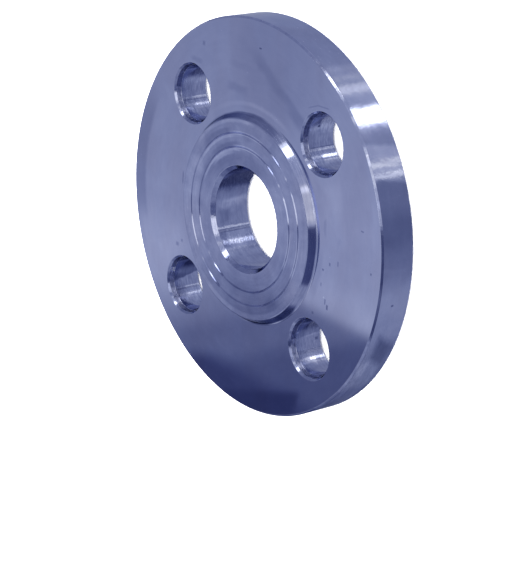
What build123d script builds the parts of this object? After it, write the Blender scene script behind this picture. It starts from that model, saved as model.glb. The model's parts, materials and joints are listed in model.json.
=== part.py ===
from build123d import *
import os
from math import cos, radians, sin

# Flat slip on flange for a small steel pipe, lying on its back face.
# Origin: centre of the back face. +Z: along the bore, towards the raised sealing face.
# All sizes are in millimetres.

# Plate
outside_diameter = 103.0
plate_thickness = 10.0
rim_chamfer = 0.45

# Raised sealing face, with a sloping flank down to the plate
raised_face_diameter = 52.0
raised_face_height = 2.0
raised_flank_run = 1.25
raised_edge_break = 0.15
flank_root_radius = 0.5

# Gasket grooves, cut into the raised face with a pointed tool
groove_count = 2
outer_groove_diameter = 44.6
groove_pitch = 3.55
groove_width = 0.5
groove_depth = 0.25

# Bore that slips over the pipe
pipe_outside_diameter = 25.0
pipe_clearance = 1.0
bore_front_chamfer = 1.0
bore_back_chamfer = 0.8

# Bolt holes, which straddle the X and Y axes
bolt_circle_diameter = 75.0
bolt_count = 4
bolt_diameter = 12.0
bolt_clearance = 2.0
bolt_hole_front_chamfer = 1.1
bolt_hole_back_chamfer = 0.6
first_bolt_angle = 45.0

# How far a cutting shape reaches past the face that it opens
cut_overshoot = 0.5

# Sizes that follow from the ones above
outside_radius = outside_diameter / 2
raised_top_radius = raised_face_diameter / 2
raised_base_radius = raised_top_radius + raised_flank_run
face_height = plate_thickness + raised_face_height
bore_radius = (pipe_outside_diameter + pipe_clearance) / 2
bolt_hole_radius = (bolt_diameter + bolt_clearance) / 2


def ring_section():
    """Half section of the turned ring in the XZ plane, from the bore out to the rim."""
    flank_slope = raised_flank_run / raised_face_height
    break_radius = raised_top_radius + raised_edge_break * flank_slope
    corners = [
        (bore_radius + bore_back_chamfer, 0),
        (outside_radius - rim_chamfer, 0),
        (outside_radius, rim_chamfer),
        (outside_radius, plate_thickness - rim_chamfer),
        (outside_radius - rim_chamfer, plate_thickness),
        (raised_base_radius, plate_thickness),
        (break_radius, face_height - raised_edge_break),
        (raised_top_radius - raised_edge_break, face_height),
        (bore_radius + bore_front_chamfer, face_height),
        (bore_radius, face_height - bore_front_chamfer),
        (bore_radius, bore_back_chamfer),
    ]
    outline = Polyline(*[(x, 0, z) for x, z in corners], close=True)
    return make_face(outline)


def turned_ring():
    """The section turned about the bore axis, with the tool's radius left at the flank's root."""
    ring = revolve(ring_section(), Axis.Z)
    root = [
        edge
        for edge in ring.edges().filter_by(GeomType.CIRCLE)
        if abs(edge.radius - raised_base_radius) < 1e-6
    ]
    return fillet(root, flank_root_radius)


def groove_cutter(radius):
    """Ring with a V section that opens through the raised face at the given radius."""
    slope = groove_width / 2 / groove_depth
    half_mouth = groove_width / 2 + cut_overshoot * slope
    section = Polyline(
        (radius - half_mouth, 0, face_height + cut_overshoot),
        (radius, 0, face_height - groove_depth),
        (radius + half_mouth, 0, face_height + cut_overshoot),
        close=True,
    )
    return revolve(make_face(section), Axis.Z)


def bolt_hole_cutter():
    """Drill with a countersink at each end, standing on the bore axis."""
    back_mouth = bolt_hole_radius + bolt_hole_back_chamfer + cut_overshoot
    front_mouth = bolt_hole_radius + bolt_hole_front_chamfer + cut_overshoot
    section = Polyline(
        (0, 0, -cut_overshoot),
        (back_mouth, 0, -cut_overshoot),
        (bolt_hole_radius, 0, bolt_hole_back_chamfer),
        (bolt_hole_radius, 0, plate_thickness - bolt_hole_front_chamfer),
        (front_mouth, 0, plate_thickness + cut_overshoot),
        (0, 0, plate_thickness + cut_overshoot),
        close=True,
    )
    return revolve(make_face(section), Axis.Z)


def bolt_positions():
    """Centres of the bolt holes, evenly spaced round the bolt circle."""
    radius = bolt_circle_diameter / 2
    angles = [radians(first_bolt_angle + 360 * k / bolt_count) for k in range(bolt_count)]
    return [Pos(radius * cos(a), radius * sin(a), 0) for a in angles]


def make_flange():
    """The finished flange: the turned ring, its gasket grooves and its drilled bolt holes."""
    flange = turned_ring()
    for k in range(groove_count):
        flange -= groove_cutter(outer_groove_diameter / 2 - k * groove_pitch)
    drill = bolt_hole_cutter()
    for place in bolt_positions():
        flange -= place * drill
    return flange


os.makedirs("parts", exist_ok=True)
export_step(make_flange(), "parts/flange.step")
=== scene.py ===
"""Looks of the slip on flange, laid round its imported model.

The flange is one piece of turned and drilled steel, so its visible surface is one closed mesh. Two
ring grids carry the turned forms: the raised face with its grooves and the bore, and the rim. Four
like grids carry a quarter of the plate each, down one bolt hole and out over the back. They share
their edge points, so the mesh is closed, and each point has the exact normal of its own surface.
"""
import json
from collections import namedtuple

import bpy
import numpy as np
from bpy.props import FloatProperty, FloatVectorProperty, IntProperty, PointerProperty
from bpy.types import Operator, Panel, PropertyGroup
from mathutils import Matrix, Vector


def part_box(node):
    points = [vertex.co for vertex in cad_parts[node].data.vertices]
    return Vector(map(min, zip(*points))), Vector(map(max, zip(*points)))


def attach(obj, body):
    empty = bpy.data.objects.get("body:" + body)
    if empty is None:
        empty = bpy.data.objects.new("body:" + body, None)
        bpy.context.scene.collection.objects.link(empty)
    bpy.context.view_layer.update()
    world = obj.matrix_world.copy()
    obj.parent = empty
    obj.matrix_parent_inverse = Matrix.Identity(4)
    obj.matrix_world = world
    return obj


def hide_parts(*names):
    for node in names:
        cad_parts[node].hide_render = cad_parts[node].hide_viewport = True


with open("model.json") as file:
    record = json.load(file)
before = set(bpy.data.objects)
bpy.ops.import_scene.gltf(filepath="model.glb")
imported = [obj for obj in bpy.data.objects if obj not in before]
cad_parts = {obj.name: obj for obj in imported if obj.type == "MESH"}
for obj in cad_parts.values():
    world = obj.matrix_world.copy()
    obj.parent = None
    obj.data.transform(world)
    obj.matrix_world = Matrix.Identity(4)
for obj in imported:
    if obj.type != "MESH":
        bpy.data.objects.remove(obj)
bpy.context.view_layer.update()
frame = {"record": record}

bl_info = {
    "name": "Slip on flange",
    "version": (1, 0, 0),
    "blender": (4, 5, 0),
    "location": "3D View > Sidebar > Flange",
    "description": "Builds a turned slip on flange, its steel finishes and a plain studio",
    "category": "Object",
}

NODE = "flange"
PIECE = "turned_flange"
MM = 0.001

MOUNTS = {mount["name"]: mount for mount in frame["record"]["mounts"]}
LOW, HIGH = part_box(NODE)
BORE_DIAMETER = 2 * MOUNTS["bore"]["dims"]["r_mm"] * MM
BOLT_CIRCLE = MOUNTS["bolt_holes"]["dims"]["pcd_mm"] * MM
BOLT_HOLE_DIAMETER = 2 * MOUNTS["bolt_holes"]["dims"]["hole_r_mm"] * MM
HOLES = 4

# Marks round an axis: how far they follow the radius and the height, their pitch in millimetres,
# their sweep round, and their share of the tool marks' depth or of the tone's contrast
Marks = namedtuple("Marks", "radial axial pitch sweep amount")

# One kind of cut surface: its tool marks, the rings in its tone, the shade of its bare steel, and
# the size in millimetres and the contrast of its faint clouds of handling
Finish = namedtuple("Finish", "roughness anisotropy marks rings shade cloud_size cloud_contrast")

FINISHES = {
    "plate_face": Finish(0.10, 0.3, Marks(1, 0, 0.45, 2, 0.2), Marks(1, 0, 1.6, 5, 0.05), 1, 7, 0.10),
    "flank": Finish(0.13, 0.6, Marks(1, 0, 0.3, 6, 1), Marks(1, 0, 0.25, 4, 0.35), 1, 3, 0.25),
    "raised_face": Finish(
        0.13, 0.5, Marks(1, 0, 0.4, 2.5, 0.4), Marks(1, 0, 0.9, 3, 0.14), 0.82, 4, 0.30),
    "bore_wall": Finish(0.12, 0.7, Marks(0, 1, 0.5, 13, 6), Marks(0, 1, 0.5, 5, 0.22), 0.92, 2.5, 0.35),
    "rim": Finish(0.14, 0.8, Marks(0, 1, 1.4, 25, 5), Marks(0, 1, 1.2, 6, 0.06), 1, 5, 0.16),
    "edge_break": Finish(
        0.11, 0.4, Marks(0.7, 0.7, 0.3, 30, 5), Marks(1, 1, 0.5, 14, 0.2), 1, 1.4, 0.34),
    "drilled_wall": Finish(
        0.13, 0.7, Marks(0, 1, 0.5, 7, 5), Marks(0, 1, 0.4, 3, 0.5), 0.92, 2.5, 0.35),
    "back_face": Finish(
        0.18, 0.5, Marks(1, 0, 0.45, 3, 0.6), Marks(1, 0, 1.3, 3, 0.08), 0.92, 7, 0.10),
    "hole_mouth": Finish(
        0.36, 0.7, Marks(0, 1, 0.5, 9, 5), Marks(0, 1, 0.45, 3, 0.5), 0.92, 1.2, 1.10),
}
NUMBERS = {name: number for number, name in enumerate(FINISHES)}
DRILLED = ("drilled_wall", "hole_mouth")

# Each bolt hole has a stretch of the tool path to itself, so no two are marked alike. The stretches
# stand one above the other along Z, in millimetres.
PATH_STEP = 360
HOLE_2, HOLE_3, HOLE_4 = PATH_STEP, 2 * PATH_STEP, 3 * PATH_STEP


# Sizes and colours that a user may change

def length(name, description, millimetres):
    """A length property, in metres, with its default given in millimetres."""
    return FloatProperty(
        name=name, description=description, default=millimetres * MM, min=0.01 * MM,
        unit="LENGTH", precision=5)


def angle(name, description, degrees):
    """An angle property, with its default given in degrees."""
    return FloatProperty(
        name=name, description=description, default=np.radians(degrees), unit="ROTATION")


def share(name, description, default, most=1.0):
    """A plain number from nothing to most."""
    return FloatProperty(name=name, description=description, default=default, min=0, max=most)


def segments(name, description, default, least):
    """A count of segments."""
    return IntProperty(name=name, description=description, default=default, min=least)


def colour(name, description, default):
    """A linear colour."""
    return FloatVectorProperty(
        name=name, description=description, default=default, subtype="COLOR", size=3, min=0)


class FlangeSizes(PropertyGroup):
    """Driving sizes of the turned surface."""

    outside_diameter: length("Outside diameter", "Across the rim", (HIGH.x - LOW.x) / MM)
    overall_height: length("Overall height", "Back face to raised face", HIGH.z / MM)
    rim_chamfer: length("Rim chamfer", "Both edges of the rim", 0.45)
    raised_diameter: length("Raised face diameter", "At the top of its flank", 52.0)
    raised_height: length("Raised face height", "Above the plate", 2.0)
    flank_run: length("Flank run", "How far the flank slopes outwards", 1.25)
    flank_root: length("Flank root radius", "Left by the tool's nose", 0.7)
    raised_break: length("Raised edge break", "Round the raised face", 0.15)
    groove_diameter: length("Outer groove diameter", "At its bottom", 44.6)
    groove_pitch: length("Groove pitch", "Between the two grooves", 3.55)
    groove_width: length("Groove width", "At its mouth", 0.5)
    groove_depth: length("Groove depth", "Below the raised face", 0.25)
    bore_diameter: length("Bore diameter", "For the pipe", BORE_DIAMETER / MM)
    bore_front_chamfer: length("Bore front chamfer", "At the raised face", 1.0)
    bore_back_chamfer: length("Bore back chamfer", "At the back face", 0.8)
    bolt_circle: length("Bolt circle", "Through the hole centres", BOLT_CIRCLE / MM)
    bolt_hole_diameter: length("Bolt hole diameter", "Through the plate", BOLT_HOLE_DIAMETER / MM)
    bolt_front_chamfer: length("Bolt hole front chamfer", "At the plate face", 1.1)
    bolt_back_chamfer: length("Bolt hole back chamfer", "At the back face", 0.6)
    mouth_bevel: length("Mouth bevel", "Outer part of the front chamfer, at 45 degrees", 0.5)
    mouth_depth: length("Mouth depth", "Down to the foot of the steep part", 1.7)
    mouth_lip: length("Mouth lip", "Left where the steep part meets the wall", 0.1)
    flare_run: length("Flare", "How much wider the wall is at the foot of the mouth", 0.15)
    flare_depth: length("Flare depth", "Where the wall has its own diameter", 4.7)
    edge_radius: length("Edge radius", "Left on each turned edge by handling", 0.12)
    groove_edge_radius: length("Groove edge radius", "At the grooves' mouths and bottoms", 0.04)
    short_flat: length("Short flat", "Level strip kept beside each bolt hole's edge", 0.5)
    quarter_steps: segments("Steps a quarter", "Segments in a quarter turn", 96, 16)
    side_steps: segments("Steps a side", "Segments along a quarter's straight side", 28, 4)
    face_steps: segments("Steps across a face", "Rows from a bolt hole to its quarter's edge", 8, 2)
    arc_steps: segments("Steps an arc", "Segments in each rounded corner", 4, 1)


class FlangeFinish(PropertyGroup):
    """Colours and surface texture of the steel."""

    steel: colour("Steel", "Blue-violet cast of the bare steel", (0.40, 0.45, 0.70))
    film: colour("Film", "Thin film left by oil and handling", (0.37, 0.40, 0.62))
    film_share: share("Film share", "How far the film shows in its soft blotches", 0.5)
    red_fall: share("Red fall", "Power of the shade that dims red", 1.08, 3.0)
    blue_fall: share("Blue fall", "Power of the shade that dims blue", 0.70, 3.0)
    mark_depth: FloatProperty(
        name="Tool mark depth", description="Height of the deepest tool marks",
        default=0.004 * MM, min=0, unit="LENGTH", precision=7)


class FlangeStudio(PropertyGroup):
    """Floor, light and camera."""

    floor: colour("Floor", "Plain pale floor", (0.92, 0.92, 0.93))
    floor_size: length("Floor size", "Across the floor", 6000.0)
    sky: share("Soft light", "Even light on the floor", 4.0, 10.0)
    key: FloatProperty(
        name="Key light", description="Large soft lamp above", default=1.2, min=0, unit="POWER")
    key_size: length("Key light size", "Across the lamp's disc", 500.0)
    lens: FloatProperty(name="Lens", description="Focal length in millimetres", default=122.618)
    azimuth: angle("Azimuth", "From +X", 25.401)
    elevation: angle("Elevation", "Above the floor", 35.918)
    roll: angle("Roll", "About the line of sight", -102.466)
    distance: length("Distance", "Camera to its target", 506.739)
    target: FloatVectorProperty(
        name="Target", description="Point in the middle of the view",
        default=(0.961 * MM, -19.139 * MM, 6.0 * MM), subtype="XYZ", unit="LENGTH", precision=6)


# The turned surface

def section_line(corners, radii, steps):
    """Section line through the corners (r, z), with each inner corner turned by an arc.

    Two runs meet at a corner with a turn of T. An arc of radius R starts R tan(T / 2) before the
    corner and ends as far after it. At a share t of its turn it lies at its start plus R times
    (sin t times the incoming direction, plus 1 - cos t times that direction turned a quarter turn
    to the arc's side), and its own direction is the incoming one turned by t. The outward normal is
    the direction of travel turned a quarter turn clockwise.
    Returns the points and the normals, one row each.
    """
    corners, radii = np.asarray(corners, float), np.asarray(radii, float)
    runs = np.diff(corners, axis=0)
    ways = runs / np.linalg.norm(runs, axis=1, keepdims=True)
    before, after = ways[:-1], ways[1:]
    turn = np.arctan2(
        before[:, 0] * after[:, 1] - before[:, 1] * after[:, 0], (before * after).sum(axis=1))
    starts = corners[1:-1] - before * (radii * np.tan(np.abs(turn) / 2))[:, None]
    turned = turn[:, None] * np.linspace(0, 1, steps + 1)
    cos, sin = np.cos(turned)[..., None], np.sin(turned)[..., None]
    ahead = before[:, None]
    aside = np.stack([-before[:, 1], before[:, 0]], axis=1)[:, None]
    reach = (radii * np.sign(turn))[:, None, None]
    arcs = starts[:, None] + reach * (sin * ahead + (1 - cos) * aside)
    travel = cos * ahead + sin * aside
    points = np.vstack([corners[:1], arcs.reshape(-1, 2), corners[-1:]])
    travel = np.vstack([ways[:1], travel.reshape(-1, 2), ways[-1:]])
    return points, np.stack([travel[:, 1], -travel[:, 0]], axis=1)


def finished_line(s, corners, radii, names):
    """Points and normals of a section line, and the finish number of each row of faces along it.

    The first run has one row, and then each arc and the run after it have their finish together.
    """
    rows = [1] + [s.arc_steps + 1] * (len(names) - 1)
    numbers = np.repeat([NUMBERS[name] for name in names], rows)
    return *section_line(corners, radii, s.arc_steps), numbers


def groove_corners(radius, width, depth, height):
    """Mouth, bottom and mouth of one V groove, met from the outside."""
    return [(radius + width / 2, height), (radius, height - depth), (radius - width / 2, height)]


def inner_line(s):
    """From the plate in over the raised face and its grooves, down the bore and out on the back."""
    plate = s.overall_height - s.raised_height
    raised, top, bore = s.raised_diameter / 2, s.overall_height, s.bore_diameter / 2
    lean = s.flank_run / s.raised_height
    flat = 2 * s.short_flat
    outer_groove = s.groove_diameter / 2
    corners = [
        (raised + s.flank_run + flat, plate),
        (raised + s.flank_run, plate),
        (raised + s.raised_break * lean, top - s.raised_break),
        (raised - s.raised_break, top),
        *groove_corners(outer_groove, s.groove_width, s.groove_depth, top),
        *groove_corners(outer_groove - s.groove_pitch, s.groove_width, s.groove_depth, top),
        (bore + s.bore_front_chamfer, top),
        (bore, top - s.bore_front_chamfer),
        (bore, s.bore_back_chamfer),
        (bore + s.bore_back_chamfer, 0),
        (bore + s.bore_back_chamfer + flat, 0),
    ]
    edge, groove = s.edge_radius, s.groove_edge_radius
    radii = [s.flank_root, edge, edge, *[groove] * 6, edge, edge, edge, edge]
    return finished_line(s, corners, radii, [
        "plate_face", "flank", "edge_break", *["raised_face"] * 7, "edge_break", "bore_wall",
        "edge_break", "back_face"])


def outer_line(s):
    """From the back face out and up the rim, and in onto the plate."""
    plate = s.overall_height - s.raised_height
    rim, chamfer = s.outside_diameter / 2, s.rim_chamfer
    flat = 2 * s.short_flat
    corners = [
        (rim - chamfer - flat, 0),
        (rim - chamfer, 0),
        (rim, chamfer),
        (rim, plate - chamfer),
        (rim - chamfer, plate),
        (rim - chamfer - flat, plate),
    ]
    return finished_line(s, corners, [s.edge_radius] * 4, [
        "back_face", "edge_break", "rim", "edge_break", "plate_face"])


def hole_line(s):
    """From the plate in over a bolt hole's edge, down its wall and out on the back.

    The mouth's upper corner is half as round again as an edge, its lip has two fine corners, and
    the flare runs into the wall over a hundred times an edge's radius.
    """
    plate = s.overall_height - s.raised_height
    hole, front, back = s.bolt_hole_diameter / 2, s.bolt_front_chamfer, s.bolt_back_chamfer
    flat = s.short_flat
    corners = [
        (hole + front + flat, plate),
        (hole + front, plate),
        (hole + front - s.mouth_bevel, plate - s.mouth_bevel),
        (hole + s.flare_run + s.mouth_lip, plate - s.mouth_depth + s.mouth_lip),
        (hole + s.flare_run, plate - s.mouth_depth),
        (hole, plate - s.flare_depth),
        (hole, back),
        (hole + back, 0),
        (hole + back + flat, 0),
    ]
    edge, lip = s.edge_radius, s.mouth_lip / 2
    return finished_line(s, corners, [edge, 1.5 * edge, lip, lip, 100 * edge, edge, edge], [
        "plate_face", "edge_break", *["hole_mouth"] * 2, *["drilled_wall"] * 2, "edge_break",
        "back_face"])


def line_lengths(points):
    """Distance along a section line at each of its points."""
    return np.append(0, np.cumsum(np.linalg.norm(np.diff(points, axis=0), axis=1)))


def uv_map(across, turn):
    """UV map of a grid: 1 for every 100 mm across the marks, and 1 for a whole turn."""
    return np.stack([across / MM / 100, turn], axis=-1)


def carried_round(rows, cos, sin):
    """Rows (r, z) carried round an axis: x = r cos a, y = r sin a, with z kept."""
    return np.stack(np.broadcast_arrays(
        rows[:, :1] * cos, rows[:, :1] * sin, rows[:, 1:]), axis=-1)


def ring_grid(line, steps):
    """A section line and its normals carried round the bore axis.

    The grid's first axis follows the line and its second goes round, closed on itself.
    """
    points, normals, finish = line
    around = 2 * np.pi * np.arange(steps + 1) / steps
    cos, sin = np.cos(around), np.sin(around)
    place, normal = carried_round(points, cos, sin), carried_round(normals, cos, sin)
    across, turn = np.broadcast_arrays(line_lengths(points)[:, None], around / (2 * np.pi))
    return place, normal, place, uv_map(across, turn), finish


def quarter_outline(low, high, s):
    """Outline of a quarter of a ring, in (r, angle from its middle), counter-clockwise and closed.

    It runs along the outer arc, in along one side, back along the inner arc and out again.
    """
    half = np.pi / 4
    arc = np.linspace(-half, half, s.quarter_steps, endpoint=False)
    side = np.linspace(0, 1, s.side_steps, endpoint=False)
    outer = np.stack([np.full_like(arc, high), arc], axis=1)
    inward = np.stack([high + (low - high) * side, np.full_like(side, half)], axis=1)
    inner = np.stack([np.full_like(arc, low), -arc], axis=1)
    outward = np.stack([low + (high - low) * side, np.full_like(side, -half)], axis=1)
    outline = np.vstack([outer, inward, inner, outward])
    return np.vstack([outline, outline[:1]])


def quarter_rows(outline, mouth, steps):
    """Rows from a quarter's outline to a hole's mouth, both in (r, angle).

    A point moves in equal steps of radius and of angle from the outline to its own mouth point, so
    the rows near the outline keep its arcs. The last row, the mouth itself, is left to the hole.
    """
    step = np.linspace(0, 1, steps, endpoint=False)[:, None, None]
    return outline + (mouth - outline) * step


def quarter_grid(s, inner, outer, hole, number):
    """A quarter of the plate, its bolt hole and a quarter of the back, as one grid.

    Round the hole's own axis a point is (bolt circle + q cos b, q sin b), where b is the direction
    from the hole's centre to the outline's point, measured in the plate's (r, angle) net. The grid
    is then turned about the bore axis to the hole's place.
    """
    centre = s.bolt_circle / 2
    front = quarter_outline(inner[0][0, 0], outer[0][-1, 0], s)
    back = quarter_outline(inner[0][-1, 0], outer[0][0, 0], s)
    around = np.unwrap(np.arctan2(front[:, 1] * centre, front[:, 0] - centre))
    around[-1] = around[0] + 2 * np.pi
    points, normals, hole_finish = hole
    x, y = centre + points[:, :1] * np.cos(around), points[:, :1] * np.sin(around)
    wall = np.stack([np.hypot(x, y), np.arctan2(y, x)], axis=-1)
    front_rows = quarter_rows(front, wall[0], s.face_steps)
    back_rows = quarter_rows(back, wall[-1], s.face_steps)[::-1]
    net = np.concatenate([front_rows, wall, back_rows])
    heights = np.concatenate([
        np.full(s.face_steps, points[0, 1]), points[:, 1], np.full(s.face_steps, points[-1, 1])])
    middle = (number + 0.5) * 2 * np.pi / HOLES
    bearing = net[..., 1] + middle
    place = np.stack([net[..., 0] * np.cos(bearing), net[..., 0] * np.sin(bearing),
                      np.broadcast_to(heights[:, None], bearing.shape)], axis=-1)
    flat = np.broadcast_to((0.0, 0.0, 1.0), front_rows.shape[:2] + (3,))
    turned = around + middle
    normal = np.concatenate([
        flat, carried_round(normals, np.cos(turned), np.sin(turned)), -flat])
    path = place - (centre * np.cos(middle), centre * np.sin(middle), -number * PATH_STEP * MM)
    across = np.concatenate([front_rows[..., 0], np.broadcast_to(
        line_lengths(points)[:, None], wall.shape[:2]), back_rows[..., 0]])
    turn = np.concatenate([
        front_rows[..., 1], np.broadcast_to(around, wall.shape[:2]), back_rows[..., 1]])
    uv = uv_map(across, turn / (2 * np.pi) + (number + 0.5) / HOLES)
    finish = np.concatenate([
        np.full(s.face_steps, NUMBERS["plate_face"]), hole_finish,
        np.full(s.face_steps, NUMBERS["back_face"])])
    return place, normal, path, uv, finish


def grid_faces(rows, columns, start):
    """Corners of each face of a grid, so ordered that the face looks outwards."""
    corner = start + np.arange(rows * columns).reshape(rows, columns)
    return np.stack([
        corner[:-1, :-1], corner[:-1, 1:], corner[1:, 1:], corner[1:, :-1]], axis=-1).reshape(-1, 4)


def welded(points):
    """Distinct points, and for each given point the number of its distinct one.

    Points within a hundred-millionth of a metre of each other count as one.
    """
    keys = np.round(points / 1e-8).astype(np.int64)
    _, first, number = np.unique(keys, axis=0, return_index=True, return_inverse=True)
    return points[first], number.reshape(-1)


def check_closed(faces):
    """Stops if an edge is not shared by exactly two faces that run along it in opposite ways."""
    starts, ends = faces.reshape(-1), np.roll(faces, -1, axis=1).reshape(-1)
    there = np.unique(np.stack([starts, ends], axis=1), axis=0)
    back = np.unique(np.stack([ends, starts], axis=1), axis=0)
    if len(there) != faces.size or not np.array_equal(there, back):
        raise RuntimeError("the flange's surface is not closed")


def flange_mesh(s):
    """The whole surface as one closed mesh with its normals, UV map and tool path."""
    inner, outer, hole = inner_line(s), outer_line(s), hole_line(s)
    ring_steps = HOLES * s.quarter_steps
    grids = [ring_grid(inner, ring_steps), ring_grid(outer, ring_steps)]
    grids += [quarter_grid(s, inner, outer, hole, number) for number in range(HOLES)]
    starts = np.append(0, np.cumsum([grid[0][..., 0].size for grid in grids]))
    faces = np.concatenate([
        grid_faces(*grid[0].shape[:2], start) for grid, start in zip(grids, starts)])
    finish = np.concatenate([np.repeat(grid[4], grid[0].shape[1] - 1) for grid in grids])
    place, normal, path, uv = (
        np.concatenate([grid[k].reshape(-1, grid[k].shape[-1]) for grid in grids])
        for k in range(4))
    points, number = welded(place)
    check_closed(number[faces])
    mesh = bpy.data.meshes.new(PIECE)
    mesh.from_pydata(points, [], number[faces])
    corners = faces.reshape(-1)
    mesh.polygons.foreach_set("material_index", finish.astype(np.int32))
    mesh.uv_layers.new(name="machining").data.foreach_set("uv", uv[corners].ravel())
    tool_path = mesh.attributes.new("tool_path", "FLOAT_VECTOR", "CORNER")
    tool_path.data.foreach_set("vector", path[corners].ravel())
    mesh.shade_smooth()
    mesh.normals_split_custom_set(normal[corners])
    mesh.validate()
    return mesh


class FLANGE_OT_turned_body(Operator):
    """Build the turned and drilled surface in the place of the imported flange"""

    bl_idname = "flange.turned_body"
    bl_label = "Turned body"

    def execute(self, context):
        mesh = flange_mesh(context.scene.flange_sizes)
        piece = bpy.data.objects.new(PIECE, mesh)
        context.scene.collection.objects.link(piece)
        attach(piece, "root")
        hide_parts(NODE)
        return {"FINISHED"}


# Node helpers

def node(tree, kind, values=None, **settings):
    """A new node with its settings made and its inputs set or linked, by name or number."""
    made = tree.nodes.new(kind)
    for name, value in settings.items():
        setattr(made, name, value)
    for key, value in (values or {}).items():
        if isinstance(value, bpy.types.NodeSocket):
            tree.links.new(value, made.inputs[key])
        else:
            made.inputs[key].default_value = value
    return made


def maths(tree, operation, *values):
    """Result of a Math node on numbers or sockets."""
    return node(tree, "ShaderNodeMath", dict(enumerate(values)), operation=operation).outputs[0]


def vector_maths(tree, operation, *values):
    """Result of a Vector Math node that gives a vector."""
    made = node(tree, "ShaderNodeVectorMath", dict(enumerate(values)), operation=operation)
    return made.outputs["Vector"]


def length_of(tree, value):
    """Length of a vector."""
    return node(tree, "ShaderNodeVectorMath", {0: value}, operation="LENGTH").outputs["Value"]


def scaled(tree, value, factor):
    """A vector times a number."""
    made = node(tree, "ShaderNodeVectorMath", {0: value, "Scale": factor}, operation="SCALE")
    return made.outputs["Vector"]


def parts_of(tree, value):
    """The X, Y and Z of a vector."""
    return node(tree, "ShaderNodeSeparateXYZ", {0: value}).outputs


def smooth_step(tree, value, low, high):
    """0 at low, 1 at high, and a smooth change between."""
    made = node(tree, "ShaderNodeMapRange", {0: value, 1: low, 2: high},
                interpolation_type="SMOOTHSTEP")
    return made.outputs[0]


def varied(tree, shade, noise, contrast):
    """A shade made lighter and darker by noise round one half, by up to a share of itself."""
    swing = maths(
        tree, "MULTIPLY_ADD", maths(tree, "SUBTRACT", noise, 0.5), 2 * contrast, 1.0)
    return maths(tree, "MULTIPLY", shade, swing)


def empty_material(name):
    """A new material without nodes."""
    material = bpy.data.materials.new(name)
    material.use_nodes = True
    material.node_tree.nodes.clear()
    return material


# Groups of nodes, each named as the function that makes it

FLOAT, VECTOR, COLOUR = "NodeSocketFloat", "NodeSocketVector", "NodeSocketColor"
PANEL_PARTS = (
    "Panel Level", "Centre Across", "Centre Up", "Width", "Height", "Side Edge", "End Edge", "Lean")


def new_group(build, inputs, outputs):
    """An empty node group with its named sockets, and its inner input and output nodes."""
    tree = bpy.data.node_groups.new(build.__name__, "ShaderNodeTree")
    for side, sockets in (("INPUT", inputs), ("OUTPUT", outputs)):
        for label, kind in sockets.items():
            tree.interface.new_socket(label, in_out=side, socket_type=kind)
    return tree, tree.nodes.new("NodeGroupInput").outputs, tree.nodes.new("NodeGroupOutput").inputs


def placed(tree, build, values):
    """Outputs of a group placed in a tree with its own values. It is built the first time only."""
    group = bpy.data.node_groups.get(build.__name__) or build()
    return node(tree, "ShaderNodeGroup", values, node_tree=group).outputs


def turning_marks():
    """Marks that a tool leaves round its axis: noise stretched along the turn.

    The noise is read at the unit direction from the axis times the sweep, and at the distance
    across the marks divided by their pitch. That distance is the radius on a face and the height
    on a wall.
    """
    tree, into, out = new_group(turning_marks, {
        "Position": VECTOR, "Radial": FLOAT, "Axial": FLOAT, "Pitch": FLOAT, "Sweep": FLOAT,
    }, {"Height": FLOAT})
    flat = vector_maths(tree, "MULTIPLY", into["Position"], (1, 1, 0))
    height = parts_of(tree, into["Position"])["Z"]
    across = maths(tree, "MULTIPLY_ADD", length_of(tree, flat), into["Radial"],
                   maths(tree, "MULTIPLY", height, into["Axial"]))
    rise = node(tree, "ShaderNodeCombineXYZ", {2: maths(tree, "DIVIDE", across, into["Pitch"])})
    turn = scaled(tree, vector_maths(tree, "NORMALIZE", flat), into["Sweep"])
    noise = node(tree, "ShaderNodeTexNoise", {
        "Vector": vector_maths(tree, "ADD", turn, rise.outputs[0]), "Scale": 1.0,
        "Detail": 2.0, "Roughness": 0.6})
    tree.links.new(noise.outputs[0], out["Height"])
    return tree


def blotches():
    """Soft cloudy tone of handled steel: noise on the piece's own coordinates."""
    tree, into, out = new_group(
        blotches, {"Position": VECTOR, "Size": FLOAT, "Stretch": VECTOR}, {"Tone": FLOAT})
    place = vector_maths(tree, "MULTIPLY", into["Position"], into["Stretch"])
    noise = node(tree, "ShaderNodeTexNoise", {
        "Vector": place, "Scale": maths(tree, "DIVIDE", 1.0, into["Size"]), "Detail": 3.0,
        "Roughness": 0.55, "Distortion": 0.3})
    tree.links.new(noise.outputs[0], out["Tone"])
    return tree


def machining_place():
    """Place on the flange in millimetres and degrees, with a wobble that makes patches ragged.

    The wobble moves the place by noise in three directions, up to half its amount each way.
    """
    tree, into, out = new_group(
        machining_place, {"Position": VECTOR, "Wobble": FLOAT, "Wobble Size": FLOAT},
        dict.fromkeys(("X", "Y", "Z", "Radius", "Angle"), FLOAT))
    noise = node(tree, "ShaderNodeTexNoise", {
        "Vector": into["Position"], "Scale": maths(tree, "DIVIDE", 1.0, into["Wobble Size"]),
        "Detail": 2.0})
    shift = scaled(tree, vector_maths(tree, "SUBTRACT", noise.outputs["Color"], (0.5, 0.5, 0.5)),
                   into["Wobble"])
    place = scaled(tree, vector_maths(tree, "ADD", into["Position"], shift), 1 / MM)
    parts = parts_of(tree, place)
    for label in "XYZ":
        tree.links.new(parts[label], out[label])
    flat = vector_maths(tree, "MULTIPLY", place, (1, 1, 0))
    tree.links.new(length_of(tree, flat), out["Radius"])
    bearing = maths(tree, "DEGREES", maths(tree, "ARCTAN2", parts["Y"], parts["X"]))
    tree.links.new(bearing, out["Angle"])
    return tree


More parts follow.
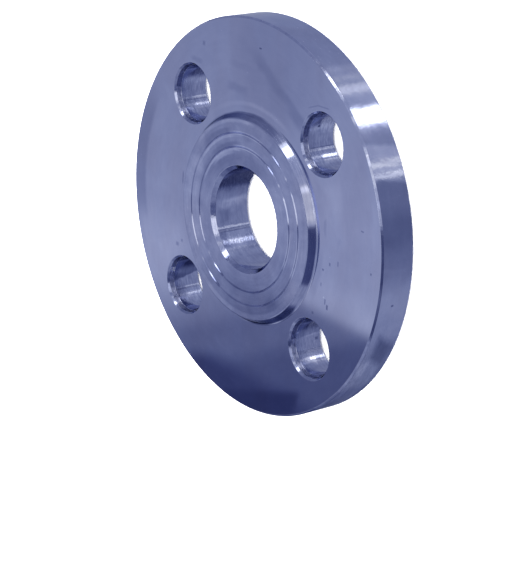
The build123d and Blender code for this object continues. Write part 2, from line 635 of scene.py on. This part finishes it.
def soft_panel():
    """Lays one soft-edged panel over a level, by two coordinates.

    The panel is centred on a place that leans aside as the second coordinate grows. Its share
    falls smoothly from 1 to 0 over the soft edge, on either side of its half width and of its half
    height. The first coordinate may be an angle, so its distance is taken the short way round.
    """
    tree, into, out = new_group(
        soft_panel, dict.fromkeys(("Across", "Up", "Level", *PANEL_PARTS), FLOAT),
        {"Level": FLOAT})
    rise = maths(tree, "SUBTRACT", into["Up"], into["Centre Up"])
    middle = maths(tree, "MULTIPLY_ADD", rise, into["Lean"], into["Centre Across"])
    aside = maths(tree, "WRAP", maths(tree, "SUBTRACT", into["Across"], middle), 180.0, -180.0)
    masks = []
    for value, size, edge in ((aside, "Width", "Side Edge"), (rise, "Height", "End Edge")):
        half = maths(tree, "MULTIPLY", into[size], 0.5)
        soft = maths(tree, "MULTIPLY", into[edge], 0.5)
        outside = smooth_step(
            tree, maths(tree, "ABSOLUTE", value), maths(tree, "SUBTRACT", half, soft),
            maths(tree, "ADD", half, soft))
        masks.append(maths(tree, "SUBTRACT", 1.0, outside))
    level = node(tree, "ShaderNodeMix", {
        0: maths(tree, "MULTIPLY", *masks), 2: into["Level"], 3: into["Panel Level"]},
        data_type="FLOAT").outputs[0]
    tree.links.new(level, out["Level"])
    return tree


def shaded_steel():
    """Steel dimmed by a shade, with red and blue each dimmed by a power of it of their own.

    The two powers turn dark steel bluer than bright steel.
    """
    tree, into, out = new_group(shaded_steel, {
        "Steel": COLOUR, "Shade": FLOAT, "Red Fall": FLOAT, "Blue Fall": FLOAT,
    }, {"Colour": COLOUR})
    falls = node(tree, "ShaderNodeCombineColor", {
        0: maths(tree, "POWER", into["Shade"], into["Red Fall"]), 1: into["Shade"],
        2: maths(tree, "POWER", into["Shade"], into["Blue Fall"])}).outputs[0]
    dimmed = node(tree, "ShaderNodeMix", {0: 1.0, 6: into["Steel"], 7: falls},
                  data_type="RGBA", blend_type="MULTIPLY")
    tree.links.new(dimmed.outputs[2], out["Colour"])
    return tree


def lay_panels(tree, across, up, level, panels):
    """Panels laid one after the other over a level. Each row has a name, then the panel's parts."""
    for _, *parts in panels:
        level = placed(tree, soft_panel, {
            "Across": across, "Up": up, "Level": level, **dict(zip(PANEL_PARTS, parts))})["Level"]
    return level


# The studio

ROOM_LEVEL = 0.44
ROOM = (
    # Name, level, azimuth, elevation, width, height, side edge, end edge, and any lean
    ("upper haze", 0.36, 137, 45, 62, 26, 10, 8),
    ("grey side", 0.24, 140, 14, 72, 38, 10, 10),
    ("dark gap behind", 0.28, 140, -12, 60, 34, 12, 8),
    ("dark behind", 0.14, 227, -8, 62, 54, 10, 6),
    ("far grey wall", 0.45, 198, 37, 44, 30, 12, 10),
    ("far soft wall", 0.76, 224, 38, 38, 34, 22, 10),
    ("dark side wall", 0.1, 332, 18, 62, 56, 6, 8),
    ("pale corner", 0.42, 285, 19, 26, 38, 8, 4),
    ("side haze", 0.36, 304, 48, 44, 22, 10, 8),
    ("upper dark side", 0.2, 344, 54, 34, 18, 8, 6),
    ("mid wall", 0.54, 62, 42, 34, 64, 8, 10),
    ("low far side", 0.38, 148, -46, 76, 36, 16, 4),
    ("low near side", 0.46, 318, -46, 60, 36, 12, 4),
    ("low dark corner", 0.24, 232, -48, 34, 22, 12, 4),
    ("low grey side", 0.4, 2, -46, 56, 36, 3, 4),
    ("low silver wall", 0.5, 47, -48, 34, 32, 4, 4),
    ("dark sill", 0.06, 260, -25, 84, 25, 34, 1.5),
    ("dark gap corner", 0.06, 262, -5, 26, 18, 8, 4),
    ("corner gap", 0.24, 262, 16, 16, 26, 8, 6),
    ("shaded gap", 0.42, 46, -10, 132, 38, 12, 6),
    ("tube glow", 0.58, 83, 38, 28, 62, 6, 10, 0.24),
    ("low tube glow", 0.58, 70, -46, 26, 36, 6, 4, 0.1),
    ("silver wall", 0.72, 25.5, 44, 44, 64, 5, 10),
    ("silver glow", 0.9, 24, 26, 32, 20, 6, 8),
    ("silver top", 1.5, 20, 62, 40, 24, 6, 4),
    ("silver stripe", 1.5, 16, 46, 6, 26, 2.5, 6),
    ("second silver stripe", 1.6, 42.5, 38, 6, 58, 2.5, 6, 0.1),
    ("low silver stripe", 1.4, 32, -48, 2.6, 32, 1.6, 3),
    ("rim stripe", 1.15, 38.8, -48, 4, 32, 2, 3),
    ("side stripe", 1.8, 92.5, 34, 6, 40, 2, 6, 0.1),
    ("middle stripe", 1.3, 69.5, 46, 4, 12, 2, 6),
    ("tube light", 5, 84.2, 22, 11, 27, 1.2, 3, 0.25),
    ("tube end", 4.2, 97, 42, 14, 9, 5, 3),
    ("zenith", 1.8, 207, 82, 84, 18, 14, 4),
    ("low tube light", 0.95, 64.5, -38, 6, 12, 2, 3, 0.1),
    ("tube foot", 5, 67.5, -50, 11, 24, 0.8, 3, 0.1),
    ("first low stripe", 1.45, 87, -50, 6, 24, 3, 3),
    ("second low stripe", 0.9, 95, -50, 4, 24, 3, 3),
    ("third low stripe", 0.72, 102, -50, 4, 24, 3, 3),
)
ROOM_TONES = (
    # Colour of each level; those over 1 have the last one, and shine as much stronger
    (0.00, (0.000, 0.000, 0.060)),
    (0.05, (0.041, 0.050, 0.131)),
    (0.10, (0.086, 0.100, 0.206)),
    (0.20, (0.178, 0.200, 0.315)),
    (0.30, (0.283, 0.300, 0.405)),
    (0.45, (0.430, 0.450, 0.541)),
    (0.60, (0.587, 0.600, 0.675)),
    (1.00, (1.050, 1.000, 0.880)),
)
KEY_PLACE = (0.1, 0.35, 0.6)


def toned(tree, level):
    """Colour of a level, from the room's tones."""
    made = node(tree, "ShaderNodeValToRGB", {0: level})
    elements = made.color_ramp.elements
    while len(elements) < len(ROOM_TONES):
        elements.new(0.5)
    for element, (place, shade) in zip(elements, ROOM_TONES):
        element.position = place
        element.color = (*shade, 1)
    return made.outputs["Color"]


def make_world(scene, studio):
    """The room seen in the steel, and an even pale light for everything else.

    The room is laid by azimuth and elevation: panels over one even level, then toned.
    """
    world = bpy.data.worlds.new("studio")
    scene.world = world
    world.use_nodes = True
    world.cycles.sampling_method = "NONE"
    tree = world.node_tree
    tree.nodes.clear()
    way = parts_of(tree, node(tree, "ShaderNodeTexCoord").outputs["Generated"])
    azimuth = maths(tree, "DEGREES", maths(tree, "ARCTAN2", way["Y"], way["X"]))
    elevation = maths(tree, "DEGREES", maths(tree, "ARCSINE", way["Z"]))
    level = lay_panels(tree, azimuth, elevation, ROOM_LEVEL, ROOM)
    room = node(tree, "ShaderNodeBackground", {
        "Color": toned(tree, level), "Strength": maths(tree, "MAXIMUM", level, 1.0)})
    pale = node(tree, "ShaderNodeBackground", {
        "Color": (*studio.floor, 1), "Strength": studio.sky})
    glossy = node(tree, "ShaderNodeLightPath").outputs["Is Glossy Ray"]
    both = node(tree, "ShaderNodeMixShader", {0: glossy, 1: pale.outputs[0], 2: room.outputs[0]})
    node(tree, "ShaderNodeOutputWorld", {0: both.outputs[0]})


def studio_sheet(scene, name, corners):
    """A flat sheet of the studio with an empty material. Returns it and its material's nodes."""
    mesh = bpy.data.meshes.new(name)
    mesh.from_pydata(corners, [], [(0, 1, 2, 3)])
    mesh.materials.append(empty_material(name))
    sheet = bpy.data.objects.new(name, mesh)
    scene.collection.objects.link(sheet)
    return sheet, mesh.materials[0].node_tree


def make_floor(scene, studio):
    """A plain pale floor under the back face, left out of the steel's reflections."""
    half = studio.floor_size / 2
    floor, tree = studio_sheet(
        scene, "floor", [(-half, -half, 0), (half, -half, 0), (half, half, 0), (-half, half, 0)])
    matt = node(tree, "ShaderNodeBsdfDiffuse", {"Color": (*studio.floor, 1)})
    node(tree, "ShaderNodeOutputMaterial", {0: matt.outputs[0]})
    floor.visible_glossy = False


CARD_SIDE = -54 * MM
CARD_HALF_WIDTH = 130 * MM
CARD_HEIGHT = 95 * MM
CARD_MASK = (
    # Name, level, along X, up, width, height, side edge, end edge and any lean, in millimetres
    ("dark card", 1, -16, 37, 130, 77, 32, 8, -0.7),
)
CARD_LEVEL = 0.17
CARD_LEVELS = (
    ("left part", 0.42, -92, 40, 66, 120, 44, 2),
    ("left middle", 0.24, -40, 40, 24, 120, 16, 2),
    ("middle", 0.155, -6, 44, 40, 120, 22, 2),
    ("upper middle", 0.25, -40, 69, 34, 22, 10, 10),
    ("dark foot", 0.085, -10, 13, 60, 30, 14, 12),
)
CARD_CORNER = (
    # As above, but placed by X plus height, and by height less the corner's slope times X
    ("dark corner", 0.06, 15.5, 15.5, 29, 40, 2, 12),
)
CORNER_SLOPE = 1.35
CARD_FACING = (0.42, 0.56)


def make_card(scene):
    """A dark card at the plate's side, seen only in reflections that meet it at a low angle."""
    card, tree = studio_sheet(scene, "dark_card", [
        (-CARD_HALF_WIDTH, CARD_SIDE, 0), (CARD_HALF_WIDTH, CARD_SIDE, 0),
        (CARD_HALF_WIDTH, CARD_SIDE, CARD_HEIGHT), (-CARD_HALF_WIDTH, CARD_SIDE, CARD_HEIGHT)])
    parts = parts_of(
        tree, scaled(tree, node(tree, "ShaderNodeTexCoord").outputs["Object"], 1 / MM))
    mask = lay_panels(tree, parts["X"], parts["Z"], 0.0, CARD_MASK)
    level = lay_panels(tree, parts["X"], parts["Z"], CARD_LEVEL, CARD_LEVELS)
    falling = maths(tree, "ADD", parts["X"], parts["Z"])
    rising = maths(tree, "MULTIPLY_ADD", parts["X"], -CORNER_SLOPE, parts["Z"])
    level = lay_panels(tree, falling, rising, level, CARD_CORNER)
    facing = node(tree, "ShaderNodeLayerWeight", {"Blend": 0.5}).outputs["Facing"]
    glow = node(tree, "ShaderNodeBsdfPrincipled", {
        "Base Color": (0, 0, 0, 1), "Specular IOR Level": 0.0, "Emission Strength": 1.0,
        "Emission Color": toned(tree, level),
        "Alpha": maths(tree, "MULTIPLY", mask, smooth_step(tree, facing, *CARD_FACING))})
    node(tree, "ShaderNodeOutputMaterial", {0: glow.outputs[0]})
    card.visible_camera = card.visible_diffuse = card.visible_shadow = False
    card.visible_transmission = False


def make_key(scene, studio):
    """A large soft lamp above, for the flange's shadow on the floor."""
    lamp = bpy.data.lights.new("key", "AREA")
    lamp.shape = "DISK"
    lamp.size = studio.key_size
    lamp.energy = studio.key
    key = bpy.data.objects.new("key", lamp)
    key.location = KEY_PLACE
    key.rotation_euler = (-key.location).to_track_quat("-Z", "Y").to_euler()
    key.visible_glossy = False
    scene.collection.objects.link(key)


def make_camera(scene, studio):
    """Camera on a line from its target, by azimuth and elevation, rolled about that line."""
    azimuth, elevation, roll = studio.azimuth, studio.elevation, studio.roll
    back = Vector((np.cos(elevation) * np.cos(azimuth), np.cos(elevation) * np.sin(azimuth),
                   np.sin(elevation)))
    level = (-back).cross(Vector((0, 0, 1))).normalized()
    upright = level.cross(-back)
    right = np.cos(roll) * level + np.sin(roll) * upright
    up = -np.sin(roll) * level + np.cos(roll) * upright
    data = bpy.data.cameras.new("camera")
    data.sensor_fit = "AUTO"
    data.sensor_width = 36
    data.lens = studio.lens
    data.clip_start, data.clip_end = 0.01, 20
    camera = bpy.data.objects.new("camera", data)
    place = Matrix((right, up, back)).transposed().to_4x4()
    place.translation = Vector(studio.target) + back * studio.distance
    camera.matrix_world = place
    scene.collection.objects.link(camera)
    scene.camera = camera


class FLANGE_OT_studio(Operator):
    """Lay the floor, hang the lights and set the camera"""

    bl_idname = "flange.studio"
    bl_label = "Studio"

    def execute(self, context):
        scene = context.scene
        studio = scene.flange_studio
        scene.view_settings.view_transform = "Standard"
        make_world(scene, studio)
        make_floor(scene, studio)
        make_card(scene)
        make_key(scene, studio)
        make_camera(scene, studio)
        return {"FINISHED"}


# The steel's finishes

FILM_BLOTCH = 12 * MM
FILM_STRETCH = (1, 0.5, 1)
FILM_STARTS, FILM_FULL = 0.40, 0.65
ROUGHNESS_SPREAD = 0.06
QUARTER_TURN = 0.25
GRAZING_TINTS = {
    # Colour where the surface is seen along itself
    "flank": (0.52, 0.55, 0.61),
    "rim": (0.87, 0.91, 1.00),
}

# Patches of another shade on the steel. Most are painted light and shade: they lighten or dim the
# steel where its reflections are to look lighter or darker. The nicks and the streaks by the flank
# are marks of the steel itself. Each row has its name, its shade, its place along the first and the
# second coordinate, its width and height along them, the softness of its sides and of its ends,
# and any lean.
OUTER_GROOVE, INNER_GROOVE = 22.3, 18.75
# Painted shade and light on the plate: the grey top, the grey streak with its dark end, the dim right
# side, the pale lower left and the pale spot by the flank dim or lighten its reflection. The two
# streaks by the flank are tool marks; the thin streaks and the one over a hole are darker lines.
PLATE_SHADES_AND_STREAKS = (
    ("grey top", 0.88, 8, 41, 30, 30, 16, 14),
    ("grey streak over the face", 0.74, 8.5, 36, 5, 12, 3.5, 6, -1.3),
    ("dark end of the streak", 0.7, 15, 32, 5.5, 8, 3.5, 5, -1.4),
    ("thin high streak", 0.9, -4, 45, 10, 1.4, 5, 1),
    ("thin middle streak", 0.88, -6, 38.5, 8, 1.6, 5, 1),
    ("thin low streak", 0.82, -7, 32.5, 8, 2, 4, 1.5),
    ("darker streak over a hole", 0.85, -25, 35.9, 4, 1.2, 2, 0.8),
    ("pale spot by the flank", 1.14, 32, 14, 6, 9, 4, 6),
    ("streak by the flank", 0.84, 30, 6.5, 0.9, 4, 0.6, 2),
    ("second streak by the flank", 0.84, 35.2, 2.4, 0.9, 5, 0.6, 2),
    ("dim right side", 0.92, 40, -1, 22, 12, 10, 10),
    ("pale lower left", 1.18, -38, -21, 22, 22, 12, 12),
)
# The shade beside the flank and the dull patch by the streak are painted shade, and the pale ring over
# the flank is a painted highlight, in the plate's reflection. The left edge is made darker.
PLATE_ARCS = (
    ("darker left edge", 0.76, 174, 49.5, 38, 6.4, 14, 1.6),
    ("shade beside the flank", 0.86, -12, 28.6, 24, 2.6, 10, 1.4),
    ("pale ring over the flank", 1.06, 95, 29.6, 60, 1, 20, 0.8),
    ("dull patch by the streak", 0.84, 74, 33, 14, 5, 8, 3),
)
PLATE_NICKS = (
    ("top nick", 0.35, 1.1, 44.5, 0.9, 0.4, 0.3, 0.3),
    ("left nick", 0.72, -22.3, 40.8, 1.1, 1.1, 0.6, 0.6),
    ("nick by the rim", 0.5, 47.6, 0, 0.5, 0.6, 0.3, 0.3),
    ("flat nick", 0.6, 43.5, 9.5, 1, 0.35, 0.3, 0.2),
    ("long nick", 0.6, 35.5, -1.2, 0.4, 1.2, 0.3, 0.4),
    ("round nick", 0.55, 32.5, -2.2, 0.6, 0.8, 0.3, 0.3),
    ("dark nick", 0.45, 30.1, -4.3, 0.6, 0.5, 0.3, 0.3),
    ("low nick", 0.65, 29.7, -8.2, 0.4, 1, 0.3, 0.4),
    ("paired nick", 0.5, 31.6, -12.2, 0.4, 1.4, 0.3, 0.5),
    ("nick beside the pair", 0.45, 32.5, -13.4, 0.6, 1.2, 0.3, 0.4),
    ("light end of the pair", 1.3, 31, -11.2, 0.5, 0.5, 0.3, 0.3),
    ("corner nick", 0.65, 27.2, -16.5, 0.7, 0.7, 0.4, 0.4),
    ("inner nick", 0.6, -29.1, 3, 0.4, 3.2, 0.3, 1.2),
    ("left spot", 0.78, -30.5, -16, 1.2, 1, 0.8, 0.7),
    ("second left spot", 0.8, -28.5, -14.5, 0.9, 0.8, 0.6, 0.6),
)
PLATE_SCRATCHES = (
    ("arc above the second hole", 0.76, 35, 22.7, 0.35, 3.6, 0.2, 1.2, 0.38),
    ("far end of the arc", 0.76, 35.7, 26.3, 0.35, 4, 0.2, 1.2, 0.03),
)
# Painted light and shade on the raised face: its sectors, rings, arcs and edge are lightened or
# darkened where its reflections are to look lighter or darker.
FACE_TONES = (
    ("pale right side", 0.92, 30, 21, 34, 16, 24, 4),
    ("dull left top", 0.7, 148, 19, 24, 9, 14, 4),
    ("dull inner top", 0.66, 105, 15, 74, 6, 24, 2.4),
    ("dull inner foot", 0.67, 280, 16, 76, 8, 30, 4),
    ("dull lower right", 0.64, 322, 19, 44, 9, 20, 3),
    ("pale outer edge", 1.15, 270, 25.2, 84, 1.3, 30, 0.8),
    ("pale outer left", 1.01, 180, 22.5, 70, 6, 26, 2),
    ("inner dark ring", 0.62, 118, 16.2, 34, 1.6, 16, 0.8),
    ("pale ring", 1.02, 122, 17.6, 28, 1.1, 14, 0.6),
    ("middle dark ring", 0.62, 120, 19.5, 38, 1.3, 16, 0.7),
    ("outer dark ring", 0.64, 121, 23.2, 32, 1.3, 14, 0.7),
    ("pale arc by the outer groove", 1.12, 128, 21.6, 50, 0.7, 20, 0.5),
    ("pale arc by the inner groove", 1.14, 128, 18.1, 60, 0.6, 16, 0.4),
    ("pale edge of the face", 1.02, 112, 25.4, 60, 0.9, 20, 0.5),
)
# Painted light and shade in the grooves: the dull and dim rows damp their glints, and the pale rows
# lift their dark reflections, at the right and at the top.
GROOVE_TONES = (
    ("dull outer groove", 0.5, 56.5, OUTER_GROOVE, 9, 0.9, 4, 0.2),
    ("dull inner groove", 0.5, 58, INNER_GROOVE, 10, 0.9, 4, 0.2),
    ("dim end of the outer glint", 0.45, 243, OUTER_GROOVE, 9, 0.9, 3, 0.2),
    ("dim end of the inner glint", 0.45, 243, INNER_GROOVE, 9, 0.9, 3, 0.2),
    ("pale outer groove", 1.22, 351, OUTER_GROOVE, 30, 0.9, 10, 0.2),
    ("pale inner groove", 1.25, 351, INNER_GROOVE, 30, 0.9, 10, 0.2),
    ("painted pale outer groove at the top", 1.25, 90, OUTER_GROOVE, 32, 0.9, 12, 0.2),
    ("painted pale inner groove at the top", 1.3, 90, INNER_GROOVE, 32, 0.9, 12, 0.2),
)
# Painted shade on the flank: its lower end and corner are darkened, and its upper end dulled.
FLANK_TONES = (
    ("dark lower end", 0.3, 285, 11, 20, 8, 10, 2),
    ("dark lower corner", 0.36, 310, 11, 14, 8, 8, 2),
    ("dull upper end", 0.8, 87, 11, 14, 8, 8, 2),
)
# Painted light and shade on the rim, all of them: they lighten or dim its reflected stripes and runs,
# and paint a dark reflection on its lower part.
RIM_TONES = (
    ("grey run", 0.86, 38.5, 5, 7, 14, 2.5, 2, 0.16),
    ("pale ripple", 1.3, 33.3, 5, 4, 14, 2, 2, 0.16),
    ("pale gap of the stripes", 1.25, 28.8, 5, 2.4, 14, 1.2, 2, 0.16),
    ("dull run", 0.64, 13.5, 5, 24, 14, 1.2, 2, 0.25),
    ("darkest part of the run", 0.5, 12, 5, 9, 14, 6, 2),
    ("soft end of the run", 0.74, 0, 5, 7, 14, 7, 2),
    # A painted dark reflection on the rim's lower part
    ("painted dark reflection on the rim", 0.46, -25, 3.6, 9, 7, 4, 3, 0.8),
    ("dull foot", 0.62, -40, 0.6, 36, 3, 10, 2),
    ("pale edge by the dark reflection", 1.45, -31, 8, 7, 3, 4, 1.5),
    ("pale upper end", 1.3, -41, 8.2, 12, 2.6, 6, 1.5),
    ("dark end", 0.4, -55, 6.5, 10, 6, 6, 3),
)
RIM_NICKS = (
    ("rim nick", 0.4, -8.6, 5.4, 0.6, 0.7, 0.3, 0.4),
)
# Painted light and shade on the edge breaks: they lighten, dim and shift the glints on the rim's edge
# and on the bore's chamfer.
EDGE_TONES = (
    ("pale rim edge", 1.4, 84, 51.3, 54, 2, 20, 0.5),
    ("dull head of the rim glint", 0.8, 61.2, 51.3, 3.2, 2, 2.4, 0.5),
    ("pale foot of the rim glint", 1.6, 51.8, 51.3, 3.4, 2, 1.6, 0.5),
    ("pale head of the low glint", 1.6, 34.2, 51.3, 2.8, 2, 1.2, 0.5),
    ("dim rim edge", 0.6, 3, 51.3, 44, 2, 4, 0.5),
    ("dull chamfer end", 0.5, 243.5, 13.5, 5, 3, 3, 0.5),
)
# Painted shade that dims the glints on the bevels of three bolt holes.
BEVEL_TONES = (
    ("dull bevel of the second hole", 0.62, 19.1, 23.8, 3, 4.6, 1, 1),
    ("dull bevel of the third hole", 0.6, -33.9, -29.3, 3, 4.4, 1, 1),
    ("dull bevel of the fourth hole", 0.45, 19.1, -29.3, 3, 4.4, 1, 1),
)
# Painted light and shade on the bore's wall: a dark head, a pale patch, and dull parts by its mouth and
# foot.
BORE_TONES = (
    ("dark head", 0.52, 147, 6, 28, 20, 10, 3),
    ("soft side of the head", 0.7, 167, 6, 14, 20, 10, 3),
    ("pale patch", 1.15, 179, 5, 9, 8, 6, 4, 0.6),
    # Painted shade by the bore's mouth
    ("painted shade at the bore's mouth", 0.62, 222, 9.8, 20, 2.2, 8, 1.4),
    ("dull band by the mouth", 0.68, 194, 8.4, 16, 3.2, 8, 1.6),
    ("dull foot of the bore", 0.68, 229, 2, 18, 4.4, 6, 2),
)
# Painted shade that dims one of two bright reflected lines in the bore.
BORE_LINES = (
    ("painted shade over a bright line in the bore", 0.45, 211, 6, 4.2, 20, 1.3, 3),
)
# On the bolt holes' walls Z stands one path step further for each hole. A patch placed by Z first
# comes round with every step, so it lies in all four holes.
# Painted shade on the upper and the lower side of every bolt hole's mouth.
MOUTH_SIDES = (
    ("dark upper side", 0.6, 9, 150, 4, 100, 1, 24),
    ("dark lower side", 0.72, 9, 276, 4, 60, 1, 30),
)
# A pale spot in the third hole's mouth, and painted shade on its side.
THIRD_MOUTH_TONES = (
    ("pale spot in the third hole", 1.7, 164, HOLE_3 + 8.9, 11, 1.4, 5, 0.6),
    ("dull side of the third hole", 0.6, 198, HOLE_3 + 9, 16, 4, 8, 1),
)
# Painted shade: the bolt holes' walls are darkened near their mouths, and the reflected streaks fade
# there.
WALL_ENDS = (
    ("dim mouth", 0.8, 8.6, 0, 4, 800, 3, 2),
    ("faint end of the streaks", 0.6, 7.2, 220, 4.2, 28, 1.6, 5),
)
# Painted light and shade on the bolt holes' walls: a pale head, dark heads and mouth, a bright blotch
# and a dull middle.
WALL_TONES = (
    ("pale head of the first hole", 1.25, 155, 4, 26, 9, 10, 3),
    ("dark head of the third hole", 0.36, 148, HOLE_3 + 5, 76, 16, 5, 2, 1.8),
    ("dark mouth of the third hole", 0.5, 157, HOLE_3 + 7.4, 36, 2.4, 6, 1),
    ("dark head of the fourth hole", 0.58, 142, HOLE_4 + 5, 72, 16, 4, 2, 1),
    ("bright blotch of the fourth hole", 1.4, 229, HOLE_4 + 5, 14, 3.2, 8, 1.2),
    ("dull middle of the second hole", 0.78, 200, HOLE_2 + 5.4, 50, 2.6, 24, 1.5),
)
# A nick and two pits in the walls, a painted pale line in the fourth hole, and painted shade over a
# bright reflected line in each hole.
WALL_NICKS_AND_PAINTED_LIGHT = (
    ("nick in the first hole", 0.3, 160.5, 5.5, 5, 0.7, 2, 0.3),
    ("pale line in the fourth hole", 1.2, 168.5, HOLE_4 + 8.8, 3, 2.4, 1.5, 0.6, 1.5),
    ("pit in the fourth hole", 0.45, 189, HOLE_4 + 1.7, 6, 1, 3, 0.4),
    ("second pit in the fourth hole", 0.7, 190, HOLE_4 + 7.7, 7, 0.7, 3, 0.3),
    # Painted shade over a bright reflected line in each hole
    ("painted shade over a line in the first hole", 0.5, 205.2, 5, 3, 16, 1.2, 2),
    ("painted shade over a line in the second hole", 0.5, 209.9, HOLE_2 + 5, 3.6, 16, 1.2, 2),
    ("painted shade over a line in the third hole", 0.5, 211.9, HOLE_3 + 5, 3.6, 16, 1.2, 2),
    ("painted shade over lines in the fourth hole", 0.5, 211.6, HOLE_4 + 5, 7.4, 16, 1.4, 2),
)
PATCHES = (
    # Finish, the two coordinates of its patches, their wobble in millimetres, and the patches
    ("plate_face", "X", "Y", 1.5, PLATE_SHADES_AND_STREAKS),
    ("plate_face", "Angle", "Radius", 0.6, PLATE_ARCS),
    ("plate_face", "X", "Y", 0.25, PLATE_NICKS),
    ("plate_face", "Y", "X", 0.1, PLATE_SCRATCHES),
    ("raised_face", "Angle", "Radius", 0.5, FACE_TONES),
    ("raised_face", "Angle", "Radius", 0.1, GROOVE_TONES),
    ("flank", "Angle", "Z", 0.3, FLANK_TONES),
    ("rim", "Angle", "Z", 0.9, RIM_TONES),
    ("rim", "Angle", "Z", 0.3, RIM_NICKS),
    ("edge_break", "Angle", "Radius", 0.6, EDGE_TONES),
    ("edge_break", "X", "Y", 0.2, BEVEL_TONES),
    ("bore_wall", "Angle", "Z", 1.2, BORE_TONES),
    ("bore_wall", "Angle", "Z", 0.15, BORE_LINES),
    ("hole_mouth", "Z", "Angle", 0.5, MOUTH_SIDES),
    ("hole_mouth", "Angle", "Z", 0.4, THIRD_MOUTH_TONES),
    ("drilled_wall", "Z", "Angle", 0.5, WALL_ENDS),
    ("drilled_wall", "Angle", "Z", 0.8, WALL_TONES),
    ("drilled_wall", "Angle", "Z", 0.2, WALL_NICKS_AND_PAINTED_LIGHT),
)


def patched(tree, name, place, shade):
    """Shade of a cut surface, from its bare shade and its patches, most of them painted light and
    shade.
    """
    for finish, across, up, wobble, panels in PATCHES:
        if finish == name:
            parts = placed(tree, machining_place, {
                "Position": place, "Wobble": wobble * MM, "Wobble Size": 2 * wobble * MM})
            shade = lay_panels(tree, parts[across], parts[up], shade, panels)
    return shade


def steel_material(name, colours):
    """Bare steel with the tool marks, tone and patches of one kind of cut.

    The shade is 1 on bright steel and 0 in black, and the film shifts the colour in soft blotches.
    """
    finish = FINISHES[name]
    material = empty_material(name)
    tree = material.node_tree
    if name in DRILLED:
        place = node(tree, "ShaderNodeAttribute", attribute_name="tool_path").outputs["Vector"]
        tangent = node(tree, "ShaderNodeTangent", direction_type="UV_MAP", uv_map="machining")
    else:
        place = node(tree, "ShaderNodeTexCoord").outputs["Object"]
        tangent = node(tree, "ShaderNodeTangent", direction_type="RADIAL", axis="Z")
    marks, rings = (
        placed(tree, turning_marks, {
            "Position": place, "Radial": kind.radial, "Axial": kind.axial,
            "Pitch": kind.pitch * MM, "Sweep": kind.sweep})["Height"]
        for kind in (finish.marks, finish.rings))
    blotch = placed(tree, blotches, {
        "Position": place, "Size": FILM_BLOTCH, "Stretch": FILM_STRETCH})["Tone"]
    cloud = placed(tree, blotches, {
        "Position": place, "Size": finish.cloud_size * MM, "Stretch": (1, 1, 1)})["Tone"]
    # Painted light and shade from the patches, with a few real marks, laid over the bare shade
    shade = patched(tree, name, place, finish.shade)
    shade = varied(tree, shade, rings, finish.rings.amount)
    shade = varied(tree, shade, cloud, finish.cloud_contrast)
    film = maths(tree, "MULTIPLY", smooth_step(tree, blotch, FILM_STARTS, FILM_FULL),
                 colours.film_share)
    steel = node(tree, "ShaderNodeMix", {
        0: film, 6: (*colours.steel, 1), 7: (*colours.film, 1)}, data_type="RGBA").outputs[2]
    base = placed(tree, shaded_steel, {
        "Steel": steel, "Shade": shade, "Red Fall": colours.red_fall,
        "Blue Fall": colours.blue_fall})["Colour"]
    bump = node(tree, "ShaderNodeBump", {
        "Strength": 1.0, "Distance": colours.mark_depth * finish.marks.amount, "Height": marks})
    rough = maths(tree, "MULTIPLY_ADD", blotch, ROUGHNESS_SPREAD,
                  finish.roughness - ROUGHNESS_SPREAD / 2)
    bsdf = node(tree, "ShaderNodeBsdfPrincipled", {
        "Base Color": base, "Metallic": 1.0, "Roughness": rough, "Anisotropic": finish.anisotropy,
        "Anisotropic Rotation": 0.0 if name in DRILLED else QUARTER_TURN,
        "Specular Tint": (*GRAZING_TINTS.get(name, (1, 1, 1)), 1),
        "Normal": bump.outputs[0], "Tangent": tangent.outputs[0]})
    node(tree, "ShaderNodeOutputMaterial", {0: bsdf.outputs[0]})
    return material


class FLANGE_OT_steel_finish(Operator):
    """Give each cut surface of the flange its own steel finish"""

    bl_idname = "flange.steel_finish"
    bl_label = "Steel finish"

    def execute(self, context):
        mesh = bpy.data.objects[PIECE].data
        for name, number in NUMBERS.items():
            if number == len(mesh.materials):
                mesh.materials.append(None)
            mesh.materials[number] = steel_material(name, context.scene.flange_finish)
        return {"FINISHED"}


class FLANGE_PT_sidebar(Panel):
    """Sizes, colours and steps of the flange"""

    bl_label = "Slip on flange"
    bl_space_type = "VIEW_3D"
    bl_region_type = "UI"
    bl_category = "Flange"

    def draw(self, context):
        scene = context.scene
        for group, step in (
            (scene.flange_sizes, FLANGE_OT_turned_body),
            (scene.flange_finish, FLANGE_OT_steel_finish),
            (scene.flange_studio, FLANGE_OT_studio),
        ):
            box = self.layout.box()
            for name in group.__annotations__:
                box.prop(group, name)
            box.operator(step.bl_idname)


CLASSES = (
    FlangeSizes,
    FlangeFinish,
    FlangeStudio,
    FLANGE_OT_turned_body,
    FLANGE_OT_steel_finish,
    FLANGE_OT_studio,
    FLANGE_PT_sidebar,
)


def register():
    """Registers the classes and hangs the property groups on the scene."""
    for item in CLASSES:
        bpy.utils.register_class(item)
    bpy.types.Scene.flange_sizes = PointerProperty(type=FlangeSizes)
    bpy.types.Scene.flange_finish = PointerProperty(type=FlangeFinish)
    bpy.types.Scene.flange_studio = PointerProperty(type=FlangeStudio)


def unregister():
    """Takes the property groups and classes away again."""
    del bpy.types.Scene.flange_sizes
    del bpy.types.Scene.flange_finish
    del bpy.types.Scene.flange_studio
    for item in reversed(CLASSES):
        bpy.utils.unregister_class(item)


def main():
    """Builds the flange, its finishes and the studio."""
    register()
    bpy.ops.flange.turned_body()
    bpy.ops.flange.steel_finish()
    bpy.ops.flange.studio()


if __name__ == "__main__":
    main()
